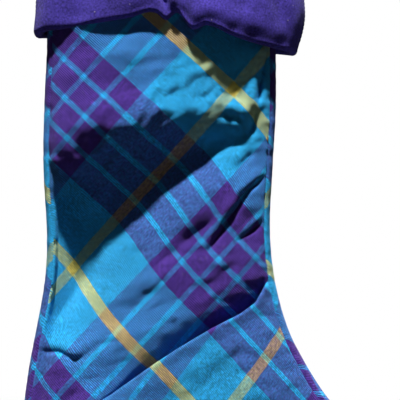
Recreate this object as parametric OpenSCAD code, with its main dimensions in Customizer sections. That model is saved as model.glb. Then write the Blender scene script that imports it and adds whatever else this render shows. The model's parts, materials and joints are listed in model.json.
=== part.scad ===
// A lined fabric gift sack cut as a stocking, with a turned-down cuff and a hanging loop.
// Millimetres. +X runs from heel to toe, -Y is the front and +Z is up.
// The origin is the centre of the hanging loop's eye, where a hook or peg goes through.

/* [Sack] */
// Width of the leg from side seam to side seam
leg_w = 168; // [150:1:190]
// Height from the mouth to the lowest point of the toe
sack_h = 498; // [440:1:560]
// Thickness of the leg from front to back where it is fullest
sack_d = 56; // [48:1:64]
// Thickness of the outer cloth
cloth_t = 1.2; // [0.8:0.1:1.6]
// Thickness of the lining cloth
lining_t = 0.8; // [0.6:0.1:1.2]

/* [Cuff] */
// Height of the turned-down cuff at its middle
cuff_h = 90; // [70:1:110]
// How much lower the hem hangs for each millimetre towards the toe
hem_slope = 0.07; // [0:0.01:0.1]
// How far the hem stands off the leg on the heel side
flare_heel = 9; // [6:1:14]
// How far the hem stands off the leg on the toe side
flare_toe = 19; // [6:1:24]
// How far the hem stands off the leg in front and behind
flare_face = 10; // [6:1:14]
// Thickness of the folded cuff strip
cuff_t = 2.4; // [1.8:0.1:3]

/* [Hanging loop] */
// Inner radius of the loop's eye
eye_r = 14; // [11:0.5:16]
// Height of the eye's centre over the sewn base
eye_h = 32; // [28:1:38]
// Width of the strap
strap_w = 10; // [8:1:12]
// Thickness of the strap
strap_t = 1.3; // [1:0.1:1.6]

/* [Stitching] */
// Radius of the sewing thread
thread_r = 0.35; // [0.25:0.05:0.5]
// Stitches drawn between two rows of the side seam
stitches_per_row = 2; // [1:1:4]

/* [Hidden] */

// Air left between two layers of cloth that lie on each other
layer_gap = 0.2;
// Sides of every exact round
round_fn = 48;

// The outline, mouth to ball of the foot: heel side x and z, toe side x and z, half depth.
// The sizes are those of a sack 168 wide, 498 high and 56 deep, and are scaled to the ones above.
stations = [
    [ -84.0,   -3,  84.0,   -3, 24.0],
    [ -84.0,  -50,  84.0,  -50, 26.0],
    [ -84.5,  -97,  85.0,  -97, 27.5],
    [ -86.5, -142,  85.0, -142, 28.0],
    [ -87.0, -187,  82.5, -187, 28.0],
    [ -84.5, -232,  80.5, -230, 27.0],
    [ -85.5, -266,  83.0, -262, 26.0],
    [ -91.0, -300,  88.0, -287, 26.5],
    [ -98.0, -337,  95.5, -310, 27.5],
    [-102.5, -376, 104.5, -328, 28.0],
    [-101.0, -415, 114.5, -345, 28.0],
    [ -86.0, -445, 125.0, -360, 28.0],
    [ -53.0, -462, 136.0, -370, 28.0],
    [  -8.0, -474, 146.0, -378, 27.5],
    [  50.0, -485, 153.0, -383, 27.0],
    [ 120.0, -494, 160.0, -386, 26.0]];
drawn_w = 168;
drawn_h = 498;
drawn_d = 56;

// Rows drawn for each pair of stations, and points drawn across each half of a row
row_steps = 2;
across = 16;
// Turns of the toe's round end, in degrees from the last station
toe_turns = [0, 16, 32, 48, 62, 74, 84];

lining_out = cloth_t + layer_gap;
lining_in = lining_out + lining_t;
mouth_half_w = leg_w / 2;
mouth_half_d = stations[0][4] * sack_d / drawn_d;

// The cuff's inner leg lies against the lining, and the loop's tails lie against that
cuff_in = lining_in + layer_gap;
inner_leg_h = 16;
tail_h = 14;
// Air between the loop's base and the cuff, so that the loop can bend over
bend_gap = 0.5;
tail_x = strap_t + 0.3
    - (mouth_half_w - cuff_in - cuff_t) * sqrt(1 - pow(strap_w / 2 / (mouth_half_d - cuff_in - cuff_t), 2));
mouth_z = -eye_h - strap_t - bend_gap;

// ---------------------------------------------------------------- the sack's surface

// A smooth curve through v1 and v2, with t from 0 to 1 between them
function spline(v0, v1, v2, v3, t) =
    v1 + 0.5 * t * ((v2 - v0) + t * ((2 * v0 - 5 * v1 + 4 * v2 - v3) + t * (3 * (v1 - v2) + v3 - v0)));

function station(i) = stations[max(0, min(len(stations) - 1, i))];

// A row is [middle, direction heel to toe, half width, half depth], pulled in by inset
function row_of(s, inset) =
    let (heel = [s[0] * leg_w / drawn_w, s[1] * sack_h / drawn_h],
         toe = [s[2] * leg_w / drawn_w, s[3] * sack_h / drawn_h],
         wide = norm(toe - heel))
    [(heel + toe) / 2, (toe - heel) / wide, wide / 2 - inset, s[4] * sack_d / drawn_d - inset];

function leg_rows(inset, steps) =
    [for (i = [0 : len(stations) - 2], j = [0 : steps - 1])
        row_of(spline(station(i - 1), station(i), station(i + 1), station(i + 2), j / steps), inset)];

// The toe is half an ellipsoid on the last station
function toe_rows(inset) =
    let (last = row_of(station(len(stations) - 1), inset),
         ahead = [last[1][1], -last[1][0]],
         full = sin(toe_turns[len(toe_turns) - 1]))
    [for (turn = toe_turns)
        [last[0] + last[2] * sin(turn) * ahead, last[1], last[2] * cos(turn),
         last[3] * sqrt(max(0, 1 - pow(sin(turn) / full, 2)))]];

function sack_rows(inset, steps) = concat(leg_rows(inset, steps), toe_rows(inset));

// A point of the front half of a row: turn 0 is the heel-side seam and 180 the toe-side seam
function on_row(row, turn) =
    let (p = row[0] - cos(turn) * row[2] * row[1])
    [p[0], -row[3] * sin(turn), p[1]];

// Two triangles for the square a, b, c, d
function square_of(a, b, c, d) = [[a, b, c], [a, c, d]];

// A front shell of cloth between two insets, closed along the seam, the mouth and the toe
module shell(outer, inner) {
    outer_rows = sack_rows(outer, row_steps);
    inner_rows = sack_rows(inner, row_steps);
    n = len(outer_rows);
    m = across + 1;
    points = [for (rows = [outer_rows, inner_rows], row = rows, j = [0 : across])
        on_row(row, 180 * j / across)];
    faces = [
        for (i = [0 : n - 2], j = [0 : m - 2])
            each square_of(i * m + j, i * m + j + 1, (i + 1) * m + j + 1, (i + 1) * m + j),
        for (i = [0 : n - 2], j = [0 : m - 2])
            each square_of((n + i + 1) * m + j, (n + i + 1) * m + j + 1, (n + i) * m + j + 1, (n + i) * m + j),
        for (i = [0 : n - 2])
            each square_of(i * m, (i + 1) * m, (n + i + 1) * m, (n + i) * m),
        for (i = [0 : n - 2])
            each square_of((i + 2) * m - 1, (i + 1) * m - 1, (n + i + 1) * m - 1, (n + i + 2) * m - 1),
        for (j = [0 : m - 2])
            each square_of(j + 1, j, n * m + j, n * m + j + 1),
        for (j = [0 : m - 2])
            each square_of((n - 1) * m + j, (n - 1) * m + j + 1, (2 * n - 1) * m + j + 1, (2 * n - 1) * m + j)];
    polyhedron(points, faces, convexity = 6);
}

// Moves what is drawn from the middle of the mouth to its place under the eye
module at_mouth() {
    translate([-tail_x, 0, mouth_z]) children();
}

module front_panel() {
    color("royalblue") at_mouth() shell(0, cloth_t);
}

module back_panel() {
    color("royalblue") at_mouth() mirror([0, 1, 0]) shell(0, cloth_t);
}

module front_lining() {
    color("slateblue") at_mouth() shell(lining_out, lining_in);
}

module back_lining() {
    color("slateblue") at_mouth() mirror([0, 1, 0]) shell(lining_out, lining_in);
}

// ---------------------------------------------------------------- the cuff

// How far the hem stands off at a turn round the mouth, 0 at the heel and 180 at the toe
function flare(turn) =
    flare_face + (flare_heel - flare_face) * pow(max(0, cos(turn)), 2)
               + (flare_toe - flare_face) * pow(max(0, -cos(turn)), 2);

// The folded strip in section: distance outward, height at the mouth, share of the drop to the hem
hem_t = 5;
top_out = layer_gap + cuff_t;
cuff_section = [
    [-cuff_in - cuff_t, -inner_leg_h, 0],
    [-cuff_in - cuff_t, -2.2, 0],
    [-cuff_in - cuff_t + 0.8, -0.6, 0],
    [-cuff_in + 0.4, 0, 0],
    [-0.2, 0, 0],
    [top_out - 0.6, -0.6, 0],
    [top_out, -2.2, 0],
    [top_out, 0, 0.3],
    [top_out + 0.6, 0, 0.7],
    [hem_t, 2.5, 1],
    [hem_t - 1.2, 0.6, 1],
    [hem_t / 2, 0, 1],
    [1.2, 0.6, 1],
    [0.4, 2.5, 1],
    [layer_gap, 0, 0.5],
    [layer_gap, -cuff_t - layer_gap, 0],
    [-cuff_in, -cuff_t - layer_gap, 0],
    [-cuff_in, -inner_leg_h, 0]];

function cuff_point(s, turn) =
    let (out = s[0] + flare(turn) * s[2],
         x = -cos(turn) * (mouth_half_w + out))
    [x, -sin(turn) * (mouth_half_d + out), s[1] - s[2] * (cuff_h + hem_slope * x)];

cuff_step = 9;

module half_cuff() {
    turns = [0 : cuff_step : 180];
    n = 180 / cuff_step + 1;
    m = len(cuff_section);
    points = [for (turn = turns, s = cuff_section) cuff_point(s, turn)];
    faces = [
        [for (j = [0 : m - 1]) j],
        [for (j = [m - 1 : -1 : 0]) (n - 1) * m + j],
        for (i = [0 : n - 2], j = [0 : m - 1])
            each square_of(i * m + j, (i + 1) * m + j, (i + 1) * m + (j + 1) % m, i * m + (j + 1) % m)];
    polyhedron(points, faces, convexity = 6);
}

module cuff_front() {
    color("indigo") at_mouth() half_cuff();
}

module cuff_back() {
    color("indigo") at_mouth() mirror([0, 1, 0]) half_cuff();
}

// ---------------------------------------------------------------- the sewing

// One stitch through the cloth, front to back
module stitch_through(x, z, length) {
    translate([x, length / 2, z]) rotate([90, 0, 0]) cylinder(h = length, r = thread_r, $fn = round_fn);
}

// A row of stitches along both side seams, at a given inset and number of stitches a row
module seam_stitches(inset, steps, length) {
    for (row = sack_rows(inset, steps), turn = [0, 180]) {
        p = on_row(row, turn);
        stitch_through(p[0], p[2], length);
    }
}

module side_seam_stitches() {
    color("midnightblue") at_mouth() seam_stitches(cloth_t / 2, row_steps * stitches_per_row, 3);
}

module lining_seam_stitches() {
    color("slateblue") at_mouth() seam_stitches((lining_out + lining_in) / 2, row_steps, 1.2);
}

// Stitches round the mouth, through the cuff's inner leg, the lining and the outer cloth
mouth_stitch_step = 6;
mouth_stitch_z = -10;

module mouth_stitches() {
    color("indigo") at_mouth()
        for (turn = [mouth_stitch_step / 2 : mouth_stitch_step : 360]) {
            out = [-cos(turn) * mouth_half_d, -sin(turn) * mouth_half_w];
            inside = cuff_in + cuff_t + 0.3;
            translate([-cos(turn) * (mouth_half_w - inside), -sin(turn) * (mouth_half_d - inside), mouth_stitch_z])
                rotate([0, 90, atan2(out[1], out[0])])
                    cylinder(h = inside - cloth_t / 2, r = thread_r, $fn = round_fn);
        }
}

// Stitches down both ends of the cuff, where its front and back halves meet
cuff_stitches = 11;

module cuff_seam_stitches() {
    color("indigo") at_mouth()
        for (turn = [0, 180], i = [1 : cuff_stitches]) {
            p = cuff_point([top_out / 2 + 0.4, 0, i / (cuff_stitches + 1)], turn);
            stitch_through(p[0], p[2], 3);
        }
}

// ---------------------------------------------------------------- the hanging loop

// The strap leaves the eye where its two sides run straight to the pinch
pinch_angle = 39;

// The wedge under a circle of radius r, down to where its two tangents meet
module wedge(r) {
    inside = 0.99 * r;
    polygon([inside * [sin(pinch_angle), -cos(pinch_angle)],
             [0, -r / cos(pinch_angle)],
             inside * [-sin(pinch_angle), -cos(pinch_angle)]]);
}

// The eye's opening, or its outside, with the wedge under it, as wide as is asked
module eye(r, wide) {
    cylinder(h = wide, r = r, center = true, $fn = round_fn);
    linear_extrude(height = wide, center = true) wedge(r);
}

module hanging_loop() {
    stem = eye_h - eye_r;
    color("indigo") rotate([90, 0, 0])
        difference() {
            union() {
                eye(eye_r + strap_t, strap_w);
                translate([0, stem / 2 - eye_h, 0]) cube([2 * strap_t, stem, strap_w], center = true);
                translate([0, -eye_h, 0])
                    cylinder(h = strap_w, r = strap_t, center = true, $fn = round_fn);
            }
            eye(eye_r, strap_w + 2);
        }
}

// Two rows of top stitching round the outside of the eye, set into the strap
module loop_edge_stitches() {
    edge = 1.2;
    bare = 2 * pinch_angle;
    color("mediumpurple")
        for (side = [-1, 1])
            translate([0, side * (strap_w / 2 - edge), 0])
                rotate([90, 90 + bare / 2, 0])
                    rotate_extrude(angle = 360 - bare, $fn = round_fn)
                        translate([eye_r + strap_t, 0]) circle(r = thread_r, $fn = 16);
}

// The strap's two ends, sewn flat against the inside of the mouth at the heel-side seam
module loop_tails() {
    thick = strap_t - 0.05;
    color("indigo")
        for (side = [-1, 1])
            translate([side * strap_t / 2 - thick / 2, -strap_w / 2, mouth_z - tail_h])
                cube([thick, strap_w, tail_h]);
}

// Close stitches that hold the tails to the cuff
module loop_bar_tack() {
    pitch = 1.6;
    through = 6.6;
    color("mediumpurple")
        for (z = [-5, -11], i = [-2 : 2])
            translate([strap_t + 0.3 - through, i * pitch, mouth_z + z])
                rotate([0, 90, 0]) cylinder(h = through, r = thread_r, $fn = round_fn);
}

front_panel();
back_panel();
front_lining();
back_lining();
cuff_front();
cuff_back();
side_seam_stitches();
lining_seam_stitches();
mouth_stitches();
cuff_seam_stitches();
hanging_loop();
loop_edge_stitches();
loop_tails();
loop_bar_tack();
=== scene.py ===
"""A stocking-shaped fabric gift sack: bias-cut tartan, a turned-down brushed cuff, a lining and a hanging
strap."""

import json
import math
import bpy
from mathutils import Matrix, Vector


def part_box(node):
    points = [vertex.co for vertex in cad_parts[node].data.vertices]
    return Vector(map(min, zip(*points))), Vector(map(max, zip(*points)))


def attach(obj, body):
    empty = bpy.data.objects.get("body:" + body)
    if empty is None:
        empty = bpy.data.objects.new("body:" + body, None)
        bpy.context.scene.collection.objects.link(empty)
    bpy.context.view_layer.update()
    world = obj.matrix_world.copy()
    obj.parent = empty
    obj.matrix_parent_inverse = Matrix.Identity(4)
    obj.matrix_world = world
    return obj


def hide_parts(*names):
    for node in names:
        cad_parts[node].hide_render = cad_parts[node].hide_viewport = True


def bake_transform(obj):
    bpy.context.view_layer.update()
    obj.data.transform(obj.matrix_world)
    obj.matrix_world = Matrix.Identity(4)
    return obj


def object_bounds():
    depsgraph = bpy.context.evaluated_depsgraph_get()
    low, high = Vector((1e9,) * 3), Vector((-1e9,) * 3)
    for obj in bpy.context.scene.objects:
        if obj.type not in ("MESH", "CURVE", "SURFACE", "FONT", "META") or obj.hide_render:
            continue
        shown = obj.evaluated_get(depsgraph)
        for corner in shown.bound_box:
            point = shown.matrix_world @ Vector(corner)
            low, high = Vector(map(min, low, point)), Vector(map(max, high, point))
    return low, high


bl_info = {
    "name": "Tartan gift sack",
    "version": (1, 0, 0),
    "blender": (4, 5, 0),
    "location": "3D View > Sidebar > Gift sack",
    "description": "Makes the cloth, sewing and finishes of a stocking-shaped gift sack round its model",
    "category": "Add Mesh",
}

import bpy
import numpy as np
from bpy.props import FloatProperty, FloatVectorProperty, PointerProperty

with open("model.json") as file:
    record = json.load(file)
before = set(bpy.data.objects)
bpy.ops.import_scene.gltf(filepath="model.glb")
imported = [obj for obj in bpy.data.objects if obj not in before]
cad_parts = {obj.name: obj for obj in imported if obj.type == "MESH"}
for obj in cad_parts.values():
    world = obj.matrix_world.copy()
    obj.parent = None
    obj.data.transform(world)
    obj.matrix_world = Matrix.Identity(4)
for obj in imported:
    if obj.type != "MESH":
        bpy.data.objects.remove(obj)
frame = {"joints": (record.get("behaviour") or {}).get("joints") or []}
CAD_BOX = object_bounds()
MM = 0.001

# The middle of the mouth, in the frame: every shape below is drawn round it, in millimetres.
_mouth_low, _mouth_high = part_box("mouth_stitches")
_cuff_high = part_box("cuff_front")[1]
MOUTH_X = (_mouth_low.x + _mouth_high.x) / 2 / MM
MOUTH_Z = _cuff_high.z / MM
EYE_BASE_Z = next(j["pos_m"][2] for j in frame["joints"] if j["name"] == "loop_bend") / MM

# The outline from the mouth to the ball of the foot: heel side x and z, toe side x and z, half depth.
OUTLINE = np.array([
    [-84.0, -3, 84.0, -3, 24.0],
    [-84.0, -50, 84.0, -50, 26.0],
    [-84.5, -97, 85.0, -97, 27.5],
    [-86.5, -142, 85.0, -142, 28.0],
    [-87.0, -187, 82.5, -187, 28.0],
    [-84.5, -232, 80.5, -230, 27.0],
    [-85.5, -266, 83.0, -262, 26.0],
    [-91.0, -300, 88.0, -287, 26.5],
    [-98.0, -337, 95.5, -310, 27.5],
    [-102.5, -376, 104.5, -328, 28.0],
    [-101.0, -415, 114.5, -345, 28.0],
    [-86.0, -445, 125.0, -360, 28.0],
    [-53.0, -462, 136.0, -370, 28.0],
    [-8.0, -474, 146.0, -378, 27.5],
    [50.0, -485, 153.0, -383, 27.0],
    [120.0, -494, 160.0, -386, 26.0]])
LAST_STATION = len(OUTLINE) - 1
TOE_END_TURN = math.radians(84)

# The power of the sine that a row's depth follows: 1 is an ellipse, and less is fuller.
FULLNESS = 0.82
# The side seams have rolled this far round to the front, in degrees of turn.
SEAM_TURN = 17.0

# Where the upper cloth tucks behind the foot: x and z along the crisp edge, from the heel side to the
# toe side.
ANKLE_EDGE = np.array([
    [-110, -398], [-60, -369], [-36, -354], [-5, -331.5], [13.5, -319.5], [38, -305], [60, -294], [71, -286],
    [78, -274], [92, -252]])

# Wrinkles on the front, each a valley between two points: x0, z0, x1, z1, half width, depth.
FRONT_WRINKLES = np.array([
    [84, -188, 58, -208, 2.2, 3.6],
    [68, -198, 34, -250, 2.5, 4.6],
    [86, -219, 58, -240, 2.0, 3.4],
    [70, -172, 57, -187, 3.0, 2.2],
    [42, -222, -8, -262, 4.5, 2.0],
    [60, -252, 26, -284, 4.0, 1.0],
    [81, -96, 75, -118, 2.6, 6.0],
    [75, -118, 72, -140, 2.6, 6.0],
    [72, -140, 66, -163, 4.5, 6.5],
    [-90, -188, -76, -187, 3.2, 8.0],
    [-76, -187, -60, -196, 4.5, 4.0],
    [-88, -275, -76, -274, 3.0, 7.0],
    [-90, -213, -68, -207, 3.5, 3.0],
    [-94, -323, -74, -323, 2.6, 2.6],
    [-78, -322, -62, -330, 2.6, 2.8],
    [-66, -330, -48, -321, 3.0, 1.8],
    [-50, -321, -30, -312, 4.0, 1.6],
    [94, -299, 72, -273, 3.0, 2.4],
    [64, -151, 44, -146, 3.5, 3.5],
    [-30, -140, -52, -166, 6.0, 1.8],
    [-40, -300, 4, -274, 5.0, 1.2],
    [50, -335, 64, -318, 5.0, 1.8],
    [-80, -365, -58, -352, 4.5, 2.0],
    [20, -430, 66, -404, 7.0, 2.2],
    [-60, -420, -20, -398, 8.0, 2.4],
    [96, -420, 126, -392, 6.0, 2.0]])

BACK_WRINKLES = np.array([
    [70, -268, 10, -300, 7.0, 6.0],
    [10, -300, -50, -326, 8.0, 5.0],
    [-84, -210, -30, -190, 6.0, 3.5],
    [-30, -190, 20, -196, 8.0, 3.0],
    [80, -180, 40, -214, 5.5, 4.0],
    [-70, -150, -10, -130, 9.0, 2.5],
    [84, -292, 40, -322, 5.0, 3.5],
    [-92, -330, -48, -350, 5.0, 3.5],
    [30, -430, 84, -404, 7.0, 2.5],
    [-40, -410, -80, -392, 6.0, 2.5]])

# The power that two yarns' colours are blended in.
MIX_GAMMA = 0.45
# The tartan's sett, in millimetres of each yarn in turn.
SETT = (("yellow", 9), ("cyan", 44), ("purple", 18), ("cyan", 4), ("purple", 17), ("cyan", 4), ("purple", 17),
        ("cyan", 4), ("purple", 18), ("cyan", 44))
SETT_REPEAT = sum(width for _, width in SETT)
# The flat cloth's turn on the panel, and the place of one crossing of two yellow stripes.
BIAS_TURN = math.radians(42.1)
YELLOW_CROSSING = (54.4, -127.9)
# How far a yarn wanders from straight, and how fast each family's thick lengths come, along and across it.
YARN_WOBBLE = 0.7
SLUB_RATES = ((760, 330), (350, 720))

# The great fold: its middle, and the way along it towards the heel side.
FOLD_MIDDLE = (-8, -195)
FOLD_WAY = (-0.77, -0.64)

# The strap: its thickness, its width and how far its stitching lies from each edge.
STRAP_THICK = 1.3
STRAP_WIDE = 10.0
STRAP_EDGE = 1.2


# ---------------------------------------------------------------- small tools

def smooth_step(value, low, high):
    """0 below low and 1 above high, with a smooth rise between them."""
    t = np.clip((value - low) / (high - low), 0, 1)
    return t * t * (3 - 2 * t)


def soft_noise(x, z, size, seed, waves=14):
    """A smooth random height of about unit size: a sum of waves of random direction and phase near one
    length."""
    draw = np.random.default_rng(seed)
    turn = draw.uniform(0, 2 * math.pi, waves)
    rate = 2 * math.pi / (size * draw.uniform(0.7, 1.6, waves))
    phase = draw.uniform(0, 2 * math.pi, waves)
    across = np.cos(turn) * rate
    along = np.sin(turn) * rate
    total = np.zeros(np.broadcast(x, z).shape)
    for a, b, c in zip(across, along, phase):
        total += np.sin(a * x + b * z + c)
    return total / math.sqrt(waves / 2)


def grid_piece(name, points, flat=None, wrap_rows=False, wrap_columns=False):
    """A smooth mesh of four-sided faces over a grid of points in millimetres round the mouth, (rows,
    columns, 3).

    flat is the place of each point in the cloth before sewing, and becomes the UV map called cloth, in
    metres. Where the grid wraps it has one more row or column than the points."""
    rows, columns = points.shape[:2]
    r = np.arange(rows if wrap_rows else rows - 1)[:, None]
    c = np.arange(columns if wrap_columns else columns - 1)[None, :]
    r_next, c_next = r + 1, c + 1
    corners = [(r, c), (r, c_next), (r_next, c_next), (r_next, c)]
    quads = np.stack([(i % rows) * columns + (j % columns) for i, j in corners], -1).reshape(-1, 4)
    place = points.reshape(-1, 3) * MM + np.array([MOUTH_X, 0, MOUTH_Z]) * MM
    mesh = quad_mesh(name, place, quads)
    if flat is not None:
        spread = np.stack([flat[np.broadcast_to(i, (r.size, c.size)), np.broadcast_to(j, (r.size, c.size))]
                           for i, j in corners], 2).reshape(-1, 2) * MM
        layer = mesh.uv_layers.new(name="cloth")
        layer.data.foreach_set("uv", spread.astype(np.float32).ravel())
    return place_piece(name, mesh)


def quad_mesh(name, place, quads):
    """A mesh from an array of places in metres and an array of four-sided faces."""
    mesh = bpy.data.meshes.new(name)
    mesh.vertices.add(len(place))
    mesh.vertices.foreach_set("co", place.astype(np.float32).ravel())
    mesh.loops.add(quads.size)
    mesh.loops.foreach_set("vertex_index", quads.astype(np.int32).ravel())
    mesh.polygons.add(len(quads))
    mesh.polygons.foreach_set("loop_start", np.arange(0, quads.size, 4, dtype=np.int32))
    mesh.update(calc_edges=True)
    mesh.validate()
    mesh.shade_smooth()
    return mesh


def place_piece(name, mesh):
    """An object at the origin that shows the mesh."""
    piece = bpy.data.objects.new(name, mesh)
    bpy.context.scene.collection.objects.link(piece)
    return piece


def length_along(line):
    """The length run at each point of a line."""
    return np.concatenate([[0], np.cumsum(np.linalg.norm(np.diff(line, axis=0), axis=1))])


def at_lengths(marks, run, line):
    """Places at some lengths along a line, between its points."""
    return np.stack([np.interp(marks, run, line[:, k]) for k in range(line.shape[1])], -1)


def joined(parts):
    """Several sets of arrays as one set, end to end."""
    return [np.concatenate(same) for same in zip(*parts)]


def thicken(piece, thickness):
    """Gives a sheet its thickness, inwards from the face that shows."""
    wall = piece.modifiers.new("cloth thickness", "SOLIDIFY")
    wall.thickness = thickness * MM
    wall.offset = -1
    wall.use_rim = True
    wall.use_even_offset = False


def stitches_piece(name, centres, along, outward, length, radius):
    """Many short threads as one mesh: each is a rounded bead stretched along its own direction.

    A bead is a ring of places that grows and shrinks as half an ellipse, drawn at every centre at once."""
    sides, rings = 6, 5
    centres, along, outward = (np.asarray(v, float).reshape(-1, 3) for v in (centres, along, outward))
    along = along / np.linalg.norm(along, axis=1, keepdims=True)
    side = np.cross(along, outward)
    side /= np.maximum(np.linalg.norm(side, axis=1, keepdims=True), 1e-9)
    outward = np.cross(side, along)
    share = np.linspace(-1, 1, rings)
    girth = np.sqrt(1 - (0.94 * share) ** 2) * radius
    turn = np.arange(sides) * 2 * math.pi / sides
    place = (centres[:, None, None]
             + along[:, None, None] * (share * length / 2)[None, :, None, None]
             + side[:, None, None] * (girth[:, None] * np.cos(turn))[None, :, :, None]
             + outward[:, None, None] * (girth[:, None] * np.sin(turn))[None, :, :, None])
    i = np.arange(rings - 1)[:, None]
    j = np.arange(sides)[None, :]
    j_next = (j + 1) % sides
    wall = np.stack([i * sides + j, (i + 1) * sides + j, (i + 1) * sides + j_next, i * sides + j_next],
                    -1).reshape(-1, 4)
    last = (rings - 1) * sides
    ends = np.array([[0, 1, 2, 3], [0, 3, 4, 5],
                     [last + 3, last + 2, last + 1, last], [last + 5, last + 4, last + 3, last]])
    one = np.concatenate([wall, ends])
    quads = (one[None] + (np.arange(len(centres)) * rings * sides)[:, None, None]).reshape(-1, 4)
    return place_piece(name, quad_mesh(name, place.reshape(-1, 3) * MM, quads))


def from_mouth(points):
    """Places round the middle of the mouth, moved to the frame, in millimetres."""
    return points + np.array([MOUTH_X, 0, MOUTH_Z])


# ---------------------------------------------------------------- the sack's surface

def outline_rows(station):
    """Heel side, toe side and half depth at any station: a smooth curve through the outline's points."""
    whole = np.clip(np.floor(station).astype(int), 0, LAST_STATION - 1)
    t = np.clip(station - whole, 0, 1)[..., None]
    v0, v1, v2, v3 = (OUTLINE[np.clip(whole + k, 0, LAST_STATION)] for k in (-1, 0, 1, 2))
    return v1 + 0.5 * t * ((v2 - v0) + t * ((2 * v0 - 5 * v1 + 4 * v2 - v3) + t * (3 * (v1 - v2) + v3 - v0)))


def smooth_surface(station, turn, inset=0.0):
    """The filled sack without folds, at a station down its length and a turn round it in degrees.

    Turn 0 is the heel side, 90 the front, 180 the toe side and 270 the back. Each row is an ellipse with
    a fuller face, and past the last station the toe is half an ellipsoid."""
    row = outline_rows(station)
    heel, toe = row[..., 0:2], row[..., 2:4]
    width = np.linalg.norm(toe - heel, axis=-1, keepdims=True)
    direction = (toe - heel) / width
    middle = (heel + toe) / 2
    half = width / 2 - inset
    depth = row[..., 4] - inset
    past = np.clip(station - LAST_STATION, 0, 1) * TOE_END_TURN
    ahead = np.stack([direction[..., 1], -direction[..., 0]], -1)
    middle = middle + half * np.sin(past)[..., None] * ahead
    half = half * np.cos(past)[..., None]
    depth = depth * np.sqrt(np.maximum(0, 1 - (np.sin(past) / math.sin(TOE_END_TURN)) ** 2))
    angle = np.radians(turn)
    place = middle - np.cos(angle)[..., None] * half * direction
    rise = np.sin(angle)
    y = -np.sign(rise) * np.abs(rise) ** FULLNESS * depth
    return np.stack([place[..., 0], y, place[..., 1]], -1)


def ankle_edge_z(x):
    """The height of the foot cloth's crisp upper edge at x."""
    return np.interp(x, ANKLE_EDGE[:, 0], ANKLE_EDGE[:, 1])


def ankle_station(turn):
    """The station at which each turn round the front meets the ankle edge, found by halving."""
    low = np.full(turn.shape, 3.0)
    high = np.full(turn.shape, 12.0)
    for _ in range(40):
        middle = (low + high) / 2
        place = smooth_surface(middle, turn)
        above = place[..., 2] > ankle_edge_z(place[..., 0])
        low = np.where(above, middle, low)
        high = np.where(above, high, middle)
    return (low + high) / 2


def wrinkle_height(x, z, wrinkles):
    """Outward height of a list of wrinkles: a valley with a bell profile, and a softer ridge on its upper
    side."""
    total = np.zeros(x.shape)
    for x0, z0, x1, z1, wide, deep in wrinkles:
        length = math.hypot(x1 - x0, z1 - z0)
        ux, uz = (x1 - x0) / length, (z1 - z0) / length
        along = (x - x0) * ux + (z - z0) * uz
        across = (x - x0) * -uz + (z - z0) * ux
        if ux < 0:
            across = -across
        share = along / length
        ends = smooth_step(share, -0.15, 0.35) * smooth_step(1 - share, -0.15, 0.35)
        valley = -deep * np.exp(-(across / wide) ** 2)
        ridge = 0.5 * deep * np.exp(-((across - 2.0 * wide) / (1.6 * wide)) ** 2)
        total += ends * (valley + ridge)
    return total


def kept_forward(forward, least, softness):
    """Distances in front of the sack's middle plane, kept above the least one by a rounded bend."""
    return least + softness * np.logaddexp(0, (forward - least) / softness)


def hollow_room(turn):
    """How far behind the middle plane the front may sink, which is nothing near the seams."""
    return 10 * smooth_step(np.sin(np.radians(turn)), 0.4, 0.75)


def fold_place(x, z):
    """Places along the great fold's line, towards the heel side, and across it, towards the toe."""
    ox, oz = x - FOLD_MIDDLE[0], z - FOLD_MIDDLE[1]
    return FOLD_WAY[0] * ox + FOLD_WAY[1] * oz, FOLD_WAY[0] * oz - FOLD_WAY[1] * ox


def great_fold_height(x, z, depth):
    """Outward height of the big slack fold across the leg.

    The cloth bulges above it, rolls inwards into a hollow that runs down towards the heel side, and comes
    out again below. The hollow grows wider downwards; its section is one smooth curve."""
    along, across = fold_place(x, z)
    half = smooth_curve(along, [-110, -75, -45, -20, 0, 50, 100], [14, 16, 16, 19.5, 23, 30, 34])
    middle = smooth_curve(along, [-110, -75, -45, -20, 0, 50, 100], [6, 6, -1.5, -8.5, -12.5, -15, -10])
    q = (across - middle) / half
    section = smooth_curve(q, [-4.4, -3.2, -2.4, -1.8, -1.25, -0.65, 0.0, 0.55, 0.85, 1.4, 2.2, 3.2, 4.2],
                           [0.0, 0.14, 0.30, 0.37, 0.18, -0.30, -0.72, -1.0, -0.92, -0.56, -0.22, -0.05, 0.0])
    strength = smooth_curve(along, [-125, -88, -58, -25, 20, 60, 95, 118, 140],
                            [0.0, 0.12, 0.5, 0.85, 1.0, 1.2, 1.3, 1.0, 0.4])
    return depth * section * strength


def smooth_curve(value, at, heights):
    """A curve through a few points whose slope doesn't jump: each stretch is a cubic with slopes from its
    neighbours."""
    at, heights = np.asarray(at, float), np.asarray(heights, float)
    slope = np.gradient(heights, at)
    value = np.clip(value, at[0], at[-1])
    i = np.clip(np.searchsorted(at, value) - 1, 0, len(at) - 2)
    gap = at[i + 1] - at[i]
    t = (value - at[i]) / gap
    return ((2 * t**3 - 3 * t**2 + 1) * heights[i] + (t**3 - 2 * t**2 + t) * gap * slope[i]
            + (-2 * t**3 + 3 * t**2) * heights[i + 1] + (t**3 - t**2) * gap * slope[i + 1])


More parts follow.
